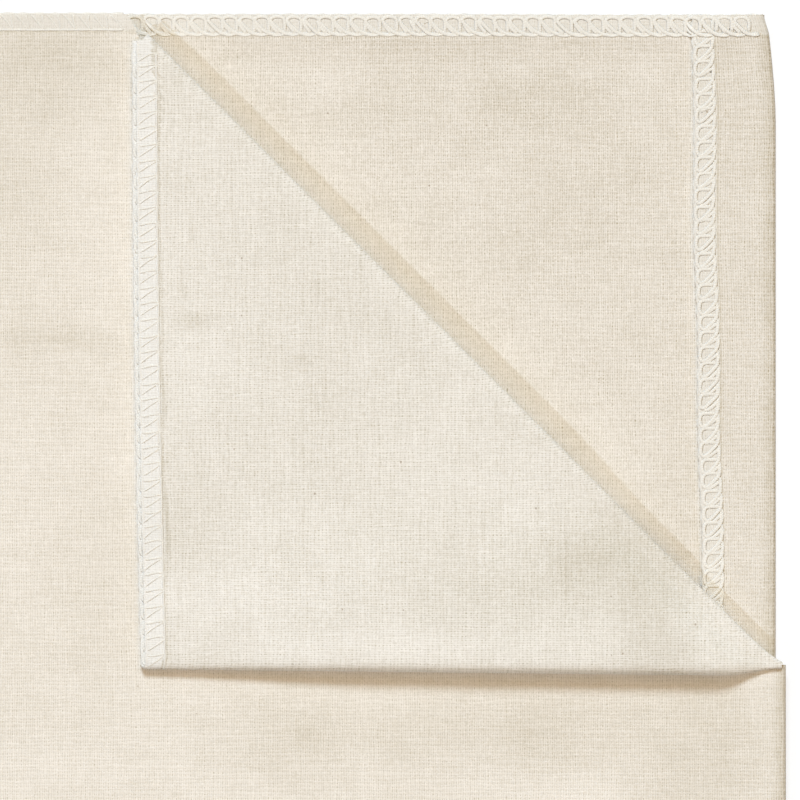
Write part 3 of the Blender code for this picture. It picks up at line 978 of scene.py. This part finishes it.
# %% Upper rows
def fold_row(y, inward, before, arc, after, way):
    """Cut edge and needle line of a row that goes round a fold, and the way into the fold along it.
    before, arc and after are x and height of the straight part before the fold, of the fold, and of
    the part after it. way is 1 if the cloth is folded up onto the first part, and -1 if under it."""
    x, z = (chained(*parts) for parts in zip(before, arc, after))
    turn = math.pi * arc_shares
    sine = chained(0 * before[0], way * np.sin(turn), 0 * after[0])
    cosine = chained(0 * before[0] + way, way * np.cos(turn), 0 * after[0] - way)
    lines = [stacked(x, np.full(len(x), y + inward * away), z) for away in sewn_at]
    return lines, stacked(sine, 0 * sine, cosine)


def cover_rows():
    y = bottom_end
    middle_x = stops(left_x + fold_run, row_step, right_x)[:-1]
    tucked_x = stops(right_x, row_step, tucked_hem_x + row_end)[1:]
    arc = half_circle(right_x, z_tucked, z_middle, 1, upward=False)
    bottom, into = fold_row(y, 1, (middle_x, middle_height(middle_x, y)), arc,
                            (tucked_x, tucked_height(tucked_x, y)), -1)
    top_x = stops(crease_start_x - row_end, row_step, left_x + fold_run)
    counted = middle_distance(top_x, top_end - stitch_width) / stitch_width
    top = end_row(top_x, top_end, -1 / counted, middle_height)
    under_x = stops(tucked_hem_x + row_end, row_step, crease_start_x - row_end)
    under = end_row(under_x, top_end, -1, tucked_height)
    hem_y = stops(top_end - stitch_width - row_end, row_step, bottom_end + stitch_width + row_end)
    hem = [stacked(np.full(len(hem_y), tucked_cut_x - away), hem_y,
                   tucked_hem_height(tucked_cut_x - away, hem_y)) for away in sewn_at]
    return (overlock("cover_bottom", *bottom, into, half, ["middle_bottom", "tucked_bottom"]),
            overlock("middle_top", *top, -up, half, ["middle_top"]),
            overlock("tucked_top", *under, up, half, ["tucked_top"]),
            overlock("tucked_hem", *hem, up, half, ["tucked_hem"]))


cover_bottom, middle_top, tucked_top, tucked_hem = cover_rows()

# %% [markdown]
# ## Sew the turned corner and the left fold
#
# The overlocked end of the cloth goes down the corner's upper ply, round its fold and up its lower
# ply, as one row. At the left fold the rows of both ends go round from ply to ply, and those parts
# are pieces of their own.

# %% Rows round the corner and the left fold
def corner_rows():
    y_top = crease_sum - corner_edge_x - tip_width - row_end
    even = stops(y_top, row_step, corner_fold_line(corner_fold_x))
    lines = []
    for away in sewn_at:
        x_up, x_low = corner_edge(even) + upper_set_back + away, corner_edge(even) + away
        y = np.minimum(even, crease_sum - x_up + row_end)
        high_z = turned_upper_height(x_up, y, crease_sum - x_up)
        low_z = turned_lower_height(x_low, y, y)
        turn = math.pi * arc_shares[1:-1]
        out, across = boxed(turn, fold_square)
        share = (1 - across) / 2
        bend = stacked(mix(x_up[-1], x_low[-1], share), y[-1] - corner_fold_reach * out,
                       mix(high_z[-1], low_z[-1], share))
        lines.append(chained(stacked(x_up, y, high_z), bend, stacked(x_low, y, low_z)[::-1]))
    into = chained(np.broadcast_to(-up, (len(y), 3)), stacked(0 * turn, np.sin(turn), -np.cos(turn)),
                   np.broadcast_to(up, (len(y), 3)))
    return overlock("corner", *lines, into, half, ["corner_upper", "corner_lower"])


def left_rows():
    run = stops(left_x + fold_run, run_step, left_x)
    arc_x, arc_z = half_circle(left_x, z_lower, z_middle, -1)
    rows = []
    for name, y, inward in (("left_fold_bottom", bottom_end, 1), ("left_fold_top", lower_end(left_x), -1)):
        low_z, high_z = lower_height(run, y), middle_height(run, y)
        arc = arc_x, arc_z + (low_z[-1] - z_lower) * (1 - arc_shares)
        lines, into = fold_row(y, inward, (run[:-1], low_z[:-1]), arc, (run[-2::-1], high_z[-2::-1]), 1)
        rows.append(overlock(name, *[line[::inward] for line in lines], into[::inward], half, []))
    return rows


corner_row = corner_rows()
left_bottom, left_top = left_rows()

# %% [markdown]
# ## Sums on sockets
#
# A woven pattern is sine waves, products and thresholds. As nodes, each of those is a Math node to
# find and link. The class here wraps one socket and gives it the Python signs, so the weave can be
# written as a sum and read as one. Each sum adds its Math node, or its Vector Math or Mix node
# where it works on vectors or colours.

# %% A socket that can be summed
def sign(operation, other_first=False):
    """What a Python sign between two sockets, or a socket and a number, does."""
    def method(self, other):
        return self.maths(operation, *((other, self) if other_first else (self, other)))
    return method


class Socket:
    """One output of a node in a material, or the material itself before it has any."""

    def __init__(self, tree, output=None):
        self.tree, self.output = tree, output

    def node(self, kind, inputs=(), output=0, **settings):
        """Any node: its type, its settings first, and then the values or links of its sockets."""
        made = self.tree.nodes.new(kind)
        for setting, value in settings.items():
            setattr(made, setting, value)
        for socket, value in dict(inputs).items():
            if isinstance(value, Socket):
                self.tree.links.new(value.output, made.inputs[socket])
            else:
                made.inputs[socket].default_value = value
        return Socket(self.tree, made.outputs[output])

    def maths(self, operation, *values):
        kind = "ShaderNodeMath"
        if any(isinstance(value, Socket) and value.output.type == "VECTOR" for value in values):
            kind = "ShaderNodeVectorMath"
        return self.node(kind, enumerate(values), operation=operation)

    __add__ = __radd__ = sign("ADD")
    __sub__, __rsub__ = sign("SUBTRACT"), sign("SUBTRACT", other_first=True)
    __mul__ = __rmul__ = sign("MULTIPLY")
    __truediv__, __pow__, most = sign("DIVIDE"), sign("POWER"), sign("MAXIMUM")

    def __abs__(self):
        return self.maths("ABSOLUTE", self)

    def sine(self):
        return self.maths("SINE", self)

    def floor(self):
        return self.maths("FLOOR", self)

    def length(self):
        return self.node("ShaderNodeVectorMath", {0: self}, output="Value", operation="LENGTH")

    def other(self, name):
        """Another output of the same node."""
        return Socket(self.tree, self.output.node.outputs[name])

    def between(self, start, end, low=0, high=1):
        """Maps the range from start to end smoothly on low to high, and holds it there."""
        return self.node("ShaderNodeMapRange", {0: self, 1: start, 2: end, 3: low, 4: high},
                         interpolation_type="SMOOTHSTEP")

    def apart(self):
        """The three parts of a vector."""
        made = self.node("ShaderNodeSeparateXYZ", {0: self})
        return [Socket(self.tree, output) for output in made.output.node.outputs]

    def joined(self, *parts):
        return self.node("ShaderNodeCombineXYZ", enumerate(parts))

    def noise(self, place, scale, detail):
        """Noise from 0 to 1 at a place."""
        inputs = {"Vector": place, "Scale": scale, "Detail": detail}
        return self.node("ShaderNodeTexNoise", inputs)

    def mixed(self, share, first, second, blend_type="MIX"):
        """Two colours, with a share of the second in the first."""
        inputs = {0: share, 6: first, 7: second}
        return self.node("ShaderNodeMix", inputs, output=2, data_type="RGBA", blend_type=blend_type)

    def tinted(self, share, color):
        """This colour with a share of another."""
        return self.mixed(share, self, color)

    def bump(self, height, strength, depth):
        inputs = {"Strength": strength, "Distance": depth, "Height": height}
        return self.node("ShaderNodeBump", inputs, output="Normal")


def new_material(name):
    """An empty material and the socket that its nodes start from."""
    material = bpy.data.materials.new(name)
    material.use_nodes = True
    material.node_tree.nodes.clear()
    return material, Socket(material.node_tree)


def finish_material(start, shader):
    output = start.tree.nodes.new("ShaderNodeOutputMaterial")
    start.tree.links.new(shader.output, output.inputs["Surface"])


def finish_fabric(start, color, roughness, bump, specular, sheen, sheen_roughness):
    """Light coloured fabric has no clear highlight, but a little sheen from its loose fibres."""
    finish_material(start, start.node("ShaderNodeBsdfPrincipled", {
        "Base Color": color, "Roughness": roughness, "Specular IOR Level": specular,
        "Sheen Weight": sheen, "Sheen Roughness": sheen_roughness, "Normal": bump}))


def color(red, green, blue):
    """A colour as it is seen on a screen, from 0 to 255, as the render needs it."""
    levels = []
    for part in (red / 255, green / 255, blue / 255):
        levels.append(part / 12.92 if part <= 0.04045 else ((part + 0.055) / 1.055) ** 2.4)
    return (*levels, 1)


print("colour of paper", [round(value, 2) for value in color(250, 250, 245)])

# %% [markdown]
# ## The weave
#
# The cloth is a plain weave of hand spun looking cotton. Its lengthwise threads are fine and close,
# 0.52 mm apart, and its crosswise threads thicker, 0.86 mm apart. Every thread goes over one and
# under the next, which two sine waves give: their product says which of the two is on top. Noise
# stretched along each thread makes some paler, some thicker, and gives the slubs. Where four
# threads leave a gap, a dark pin hole shows, and most at every second gap of the lengthwise
# threads, which lie in pairs. The gaps between crosswise threads show more on the turned corner,
# whose other side is up. The dark and tan flecks are bits of seed husk that unbleached cotton keeps.
#
# The numbers in the sums are levels of tone, found beside the photograph.

# %% Cotton material
lengthwise_spacing = 0.52
crosswise_spacing = 0.86
weave_depth = 0.2 * mm


def cotton(name, base, deep, wrapped, seed, contrast, cross, patches, specks=()):
    """Unbleached cotton. base is its colour, deep the colour between its threads, and wrapped that of
    the cloth under the overlock. contrast is how much its threads show, and cross how much more the
    gaps between crosswise threads do. Each patch is a place on the flat cloth, how far it reaches
    both ways, and how much paler it is: broad areas of tone, and some painted shade and painted
    light at the folds. Each speck is the place of a dark bit of husk."""
    material, start = new_material(name)
    place = start.node("ShaderNodeAttribute", output="Vector", attribute_name="cloth_place")
    s, t, bound_here = place.apart()
    wobble_s = start.noise(start.joined(s * 0.9, t * 0.12, seed), 1, 3) - 0.5
    wobble_t = start.noise(start.joined(s * 0.1, t * 0.7, seed + 7), 1, 3) - 0.5
    lengthwise = (s + wobble_s * 0.8) / lengthwise_spacing
    crosswise = (t + wobble_t * 1.5) / crosswise_spacing
    wave_s = (lengthwise * math.pi).sine()
    wave_t = (crosswise * math.pi).sine()
    over = wave_s * wave_t
    yarn_s = start.noise(start.joined(lengthwise * 0.9, t * 0.11, seed + 3), 1, 3)
    yarn_t = start.noise(start.joined(s * 0.09, crosswise * 0.9, seed + 5), 1, 3)
    between_s, between_t = 1 - abs(wave_s), 1 - abs(wave_t)
    height = ((1 - between_s) * (0.6 + over * 0.4)).most((1 - between_t) * (0.6 - over * 0.4))
    crossing = start.joined((lengthwise + 0.5).floor(), (crosswise + 0.5).floor(), seed)
    chance_here = start.node("ShaderNodeTexWhiteNoise", {"Vector": crossing}, output="Value")
    pair = abs((lengthwise * (math.pi / 2)).sine())
    hole = (between_s * between_t).between(0.15, 0.75) * (0.2 + pair * 0.8) * (0.3 + chance_here * 0.7)
    lines = between_s * (0.01 + yarn_s * 0.17) + between_t ** 3 * (yarn_t * 0.05 + cross)
    fine = start.noise(place * (1, 1, 0), 0.9, 3) - 0.5
    fibres = start.noise(place * (1, 1, 0), 2.4, 2) - 0.5
    broad = start.noise(place * (1, 1, 0) + (40 + seed, 0, 0), 0.03, 3) - 0.5
    clouds = start.noise(place * (1, 1, 0) + (0, seed, 0), 0.13, 2) - 0.5
    tone = 1.03 + (yarn_s - 0.5) * 0.1 + (yarn_t - 0.5) * 0.09 + broad * 0.1 + clouds * 0.07
    tone = tone + (fine * 0.09 + fibres * 0.3 + (chance_here - 0.5) * 0.06) * contrast
    # Broad patches of tone, some of them painted shade and painted light at the folds.
    for (centre_s, centre_t), reach_s, reach_t, change in patches:
        off = (place - (centre_s / mm, centre_t / mm, 0)) * (mm / reach_s, mm / reach_t, 0)
        tone = tone + off.length().between(0, 1, change, 0)
    # A thin line of painted shade at the inner edge of the bound strip, where the needle thread draws the
    # cloth in.
    needle_line_shade = bound_here * (1 - bound_here) * 4
    level = tone - (lines + hole * 0.25) * contrast - needle_line_shade * 0.1
    flecks = start.node("ShaderNodeTexVoronoi", {"Vector": start.joined(s, t * 1.2, seed), "Scale": 0.3},
                        output="Distance")
    pick, size, kind = flecks.other("Color").apart()
    fleck = (1 - (flecks / (0.03 + size * 0.08)).between(0.5, 1.0)) * pick.between(0.78, 0.8)
    cloth = start.mixed(level.between(0.55, 1.12), deep, base)
    cloth = cloth.mixed(1.0, cloth, level, "MULTIPLY")
    cloth = cloth.tinted(bound_here ** 3 * 0.5, wrapped)
    cloth = cloth.tinted(fleck * (0.15 + kind * 0.45), color(140, 112, 76))
    for centre_s, centre_t in specks:
        off = place * (1, 1, 0) - (centre_s / mm, centre_t / mm, 0)
        cloth = cloth.tinted(off.length().between(0.15, 0.34, 0.85, 0), color(70, 54, 40))
    bump = start.bump(height + fine * 0.6, 0.35, weave_depth)
    finish_fabric(start, cloth, 0.94 - height * 0.08, bump, specular=0.22, sheen=0.08, sheen_roughness=0.6)
    return material


def on_lower(x, y):
    """The place on the flat cloth of a point of the lower panel."""
    return lower_hem_x - lower_cut_x + hem_arc + lower_hem_x - x, y


def on_strip(x, y):
    """The same of a point of the hem strip."""
    return x - hem_cut(y), y


def on_middle(x, y):
    return middle_s + x, y


def on_corner(x, y):
    return turned_flat(x, y, outer_round, False)


def placed_patches(on_cloth, *marks):
    """Patches from where they lie on the folded cloth and how far they reach, in millimetres, and
    how much paler they are. Some of them are painted shade and painted light."""
    return [(on_cloth(x * mm, y * mm), reach_s * mm, reach_t * mm, change)
            for x, y, reach_s, reach_t, change in marks]


def painted_fold_shade(s, reach):
    """Painted shade along a fold's outer edge, where the cloth rolls away from the lamps."""
    return (s, 0), reach, fold_shade_reach, fold_shade_change


# How far the painted fold shade reaches along the fold, and how much darker it makes the cloth.
fold_shade_reach, fold_shade_change = 900 * mm, -0.12
hem_fold_s = lower_hem_x - lower_cut_x + hem_arc / 2
# Broad darker and paler areas on the lower panel, and painted shade along the edge of the hem fold.
lower_tone_and_fold_shade = placed_patches(on_lower, (47, 205, 24, 11, -0.05), (-4, 210, 22, 9, 0.04),
                          (66, 126, 20, 25, 0.04)) + [painted_fold_shade(hem_fold_s, 4.5 * mm)]
lower_specks = [on_lower(-33.2 * mm, 221.4 * mm)]
for speck_x, speck_y in ((87.5, 221.3), (82.7, 211.6), (84.1, 160.4), (84.3, 117.7)):
    lower_specks.append(on_strip(speck_x * mm, speck_y * mm))
# Broad darker areas on the middle panel, and painted shade along the edge of the right fold.
middle_tone_and_fold_shade = placed_patches(on_middle, (-65, 151, 24, 4, -0.05), (-76, 188, 22, 28, -0.05),
                           (-14, 59, 26, 18, -0.06), (50, 62, 26, 16, -0.05), (-66, 214, 30, 20, -0.06),
                           (24, 61, 46, 14, -0.05), (80, 56, 30, 30, -0.07))
middle_tone_and_fold_shade.append(painted_fold_shade(middle_s + right_x + right_round, 3.5 * mm))
# Broad darker and paler areas on the turned corner. The darker patch at (72, 84) is painted shade beside
# the crease, over the slope of the puffed ply, and the pale band at (12, 81) is a painted highlight along
# the soft fold.
corner_tone_shade_and_light = placed_patches(on_corner, (-34, 155, 3.5, 9, -0.07), (-10, 146, 3, 4, -0.06),
                           (50, 101, 16, 0.6, -0.06), (58, 100, 20, 28, -0.1), (26, 97, 26, 24, -0.05),
                           (72, 84, 26, 14, -0.07), (-40, 92, 14, 42, 0.045), (12, 81, 6, 70, 0.03))
lower_cotton = cotton("lower_cotton", color(235, 227, 214), color(208, 190, 150), color(235, 230, 218),
                      0, 1.0, 0, lower_tone_and_fold_shade, lower_specks)
cover_cotton = cotton("cover_cotton", color(240, 232, 219), color(214, 198, 162), color(233, 228, 217),
                      11, 0.75, 0.01, middle_tone_and_fold_shade)
corner_cotton = cotton("corner_cotton", color(240, 234, 223), color(216, 202, 170), color(248, 246, 240),
                       23, 0.95, 0.045, corner_tone_shade_and_light)
print("cotton:", lower_cotton.name, cover_cotton.name, corner_cotton.name)

# %% [markdown]
# ## Thread material
#
# The sewing thread is bleached less than white and spun from two plies. A wave that runs round the
# tube as it goes along gives the twist, as height and as a little shade.

# %% Thread material
twist_length, twist_depth = 0.55, 0.08 * mm


def sewing_thread(name, base):
    material, start = new_material(name)
    place = start.node("ShaderNodeAttribute", output="Vector", attribute_name="thread_place")
    along, cosine, sine = place.apart()
    turn = along * (full_turn / twist_length)
    twist = (turn.sine() * cosine + (turn + math.pi / 2).sine() * sine) * 0.5 + 0.5
    uneven = start.noise(start.joined(along * 0.35, cosine, sine), 1, 3)
    shade = 0.95 + twist * 0.05 + (uneven - 0.5) * 0.08
    thread = start.mixed(1.0, base, shade, "MULTIPLY")
    bump = start.bump(twist, 0.5, twist_depth)
    finish_fabric(start, thread, 0.8 + uneven * 0.1, bump, specular=0.3, sheen=0.25, sheen_roughness=0.5)
    return material


cotton_thread = sewing_thread("cotton_thread", color(242, 236, 223))
print("thread:", cotton_thread.name)

# %% [markdown]
# ## Join the panels and their threads to the bodies that carry them
#
# The lower cloth rides on the base, the upper cloth on the cover and the turned corner on the
# corner. The three strips and the left fold's threads stay where they are built. The flat area under
# four of the sheets is worked out from their places on the flat cloth. The whole cloth was cut 636
# by 450 mm. The sheets add up to a little less, because the inner plies end just inside the folds
# that lie round them.

# %% Ride and bake
def flat_area(piece):
    """The area of the flat cloth under a sheet, from each face's place on it, in square metres."""
    places = np.zeros(len(piece.data.vertices) * 3, np.float32)
    piece.data.attributes["cloth_place"].data.foreach_get("vector", places)
    places = places.reshape(-1, 3)[:, :2] * mm
    corners = np.array([face.vertices[:] for face in piece.data.polygons])
    a, b, c, d = (places[corners[:, index]] for index in range(4))
    first, second = c - a, d - b
    return float(np.abs(first[:, 0] * second[:, 1] - first[:, 1] * second[:, 0]).sum() / 4)


def dress(piece, material):
    piece.data.materials.append(material)


base_threads = (*lower_top, *lower_bottom, *side_hem)
cover_threads = (*cover_bottom, *middle_top, *tucked_top, *tucked_hem)
fold_threads = (*left_bottom, *left_top)
for piece, material in ((lower, lower_cotton), (left_fold, cover_cotton), (cover, cover_cotton),
                        (corner, corner_cotton), (crease_inner, cover_cotton),
                        (crease_outer, corner_cotton)):
    dress(piece, material)
for piece in (*base_threads, *cover_threads, *corner_row, *fold_threads):
    dress(piece, cotton_thread)

for piece in (lower, *base_threads):
    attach(piece, "base")
for piece in (cover, *cover_threads):
    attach(piece, "cover")
for piece in (corner, *corner_row):
    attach(piece, "corner")
for piece in (left_fold, *fold_threads):
    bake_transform(piece)
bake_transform(crease_inner)
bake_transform(crease_outer)

flat_area(cover)
flat_area(corner)
flat_area(crease_inner)
flat_area(crease_outer)
print("flat widths", [round(width / mm, 1) for width in (lower_width, left_fold_width, cover_width)])

# %% [markdown]
# ## Floor, light and camera
#
# The light is that of the photograph: a broad warm lamp above, a cooler and harder one beyond the
# top edge of the cloth, which shades the lower edge of the turned corner, and a faint cool one from
# the lower left, which shades its slanted edge. With the sky they add up to about one on the flat
# cloth in red, green and blue, so that colours render much as they are written, while the shadows
# are warm. The floor is pale, keeps a trace of shadow, and is white to the camera.

# %% Light it
scene = bpy.context.scene
scene.view_settings.view_transform = "Standard"
floor_reach, floor_drop = 3.0, 0.05 * mm
sky_level = 0.07


def floor():
    corners = np.array([(-1, -1, 0), (1, -1, 0), (1, 1, 0), (-1, 1, 0)]) * floor_reach
    piece = new_piece("floor", corners, [(0, 1, 2, 3)], {})
    piece.location.z = -floor_drop
    material, start = new_material("pale_floor")
    path = start.node("ShaderNodeLightPath")
    white = path.other("Is Camera Ray").most(path.other("Is Glossy Ray"))
    white = white.most(path.other("Is Transmission Ray"))
    plain = start.node("ShaderNodeBsdfDiffuse", {"Color": (0.8, 0.79, 0.77, 1)})
    shaded = start.node("ShaderNodeBsdfDiffuse", {"Color": (0.3, 0.3, 0.3, 1)})
    glow = start.node("ShaderNodeEmission", {"Color": (1, 1, 1, 1), "Strength": 0.75})
    bright = start.node("ShaderNodeAddShader", {0: shaded, 1: glow})
    finish_material(start, start.node("ShaderNodeMixShader", {0: white, 1: plain, 2: bright}))
    piece.data.materials.append(material)
    return piece


def lamp(name, azimuth, elevation, tint, softness):
    """A far lamp. tint is its part of the red, green and blue light on flat cloth, and softness its
    width in degrees."""
    light = bpy.data.lights.new(name, "SUN")
    light.energy = math.pi / math.sin(math.radians(elevation))
    light.color = tint
    light.angle = math.radians(softness)
    lamp_object = bpy.data.objects.new(name, light)
    scene.collection.objects.link(lamp_object)
    turn, rise = math.radians(azimuth), math.radians(elevation)
    towards = Vector((math.cos(turn) * math.cos(rise), math.sin(turn) * math.cos(rise), math.sin(rise)))
    lamp_object.rotation_euler = towards.to_track_quat("Z", "Y").to_euler()
    return lamp_object


floor()
lamp("overhead_lamp", 90, 88, (0.41, 0.272, 0.09), 110)
lamp("far_lamp", 96, 43, (0.41, 0.508, 0.63), 18)
lamp("low_left_lamp", 225, 45, (0.12, 0.16, 0.23), 3)
world = bpy.data.worlds.new("studio")
scene.world = world
world.use_nodes = True
sky = world.node_tree.nodes["Background"]
sky.inputs["Color"].default_value = (1, 1, 1, 1)
sky.inputs["Strength"].default_value = sky_level
print("lamps", [light.name for light in bpy.data.lights])

# %% Camera
view_centre = Vector((12.3 * mm, 137.0 * mm, z_middle))
view_width = 181.8 * mm
camera_height = 3.0
camera_data = bpy.data.cameras.new("camera")
camera = bpy.data.objects.new("camera", camera_data)
scene.collection.objects.link(camera)
scene.camera = camera
camera_data.sensor_width = 36
camera_data.lens = camera_data.sensor_width * camera_height / view_width
camera_data.clip_end = 20
camera.location = view_centre + Vector((0, 0, camera_height))
print("camera lens", round(camera_data.lens), "mm")
